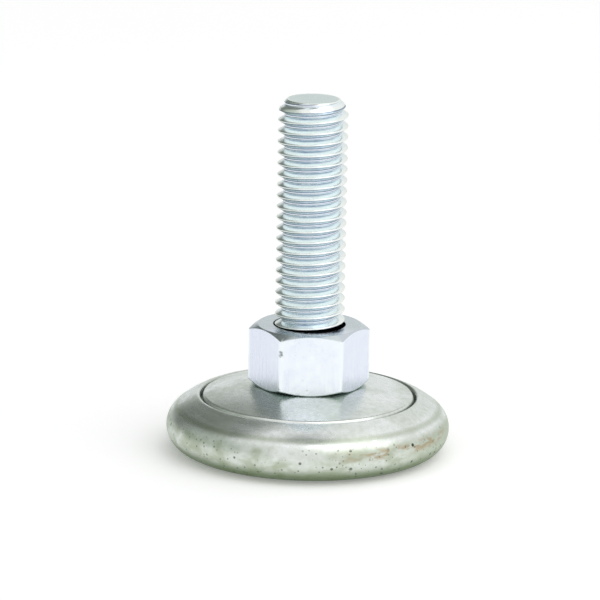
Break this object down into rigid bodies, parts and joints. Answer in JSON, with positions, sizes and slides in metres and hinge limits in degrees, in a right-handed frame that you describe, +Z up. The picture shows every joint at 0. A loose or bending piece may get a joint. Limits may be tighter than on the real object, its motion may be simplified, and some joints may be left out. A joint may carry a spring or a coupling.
{
  "type": "furniture leveling foot",
  "caption": "Round rolled-steel leveling foot with an upright threaded stud that swivels in its base and a hexagon jam nut seated on the plate.",
  "frame": {"origin": "on the stud's axis, in the plane of the floor that the foot stands on", "axes": "+Z up along the stud, -Y towards a flat of the jam nut"},
  "size_m": [0.0508, 0.0508, 0.064],
  "materials": {
    "base_steel": "satin zinc plate, grey with a faint olive tint, lightly stained",
    "inner_steel": "plain mill-finished steel, hidden inside the base",
    "pad_nylon": "matt dark nylon, lightly scuffed",
    "washer_nylon": "natural nylon",
    "stud_zinc": "bright clear-blue zinc plate",
    "nut_zinc": "bright pale zinc plate"
  },
  "bodies": {
    "base": {"rim_shell": "base_steel", "top_plate": "base_steel", "stiffener_ring": "inner_steel", "backing_plate": "inner_steel", "floor_pad": "pad_nylon"},
    "swivel": {"thrust_washer": "washer_nylon"},
    "stud": {"threaded_stud": "stud_zinc"},
    "nut": {"hex_nut": "nut_zinc"}
  },
  "joints": [
    {"name": "base_swivel", "type": "hinge", "parent": "base", "child": "swivel", "pos_m": [0, 0, 0.0046], "axis": [0, 0, 1], "continuous": true},
    {"name": "stud_turn", "type": "hinge", "parent": "swivel", "child": "stud", "pos_m": [0, 0, 0.0053], "axis": [0, 0, -1], "range_deg": [0, 7380]},
    {"name": "nut_travel", "type": "slide", "parent": "swivel", "child": "nut", "axis": [0, 0, 1], "range_m": [0, 0.04006]}
  ],
  "couplings": [
    {"joint": "nut_travel", "follows": "stud_turn", "m_per_rad": 0.00031096}
  ]
}
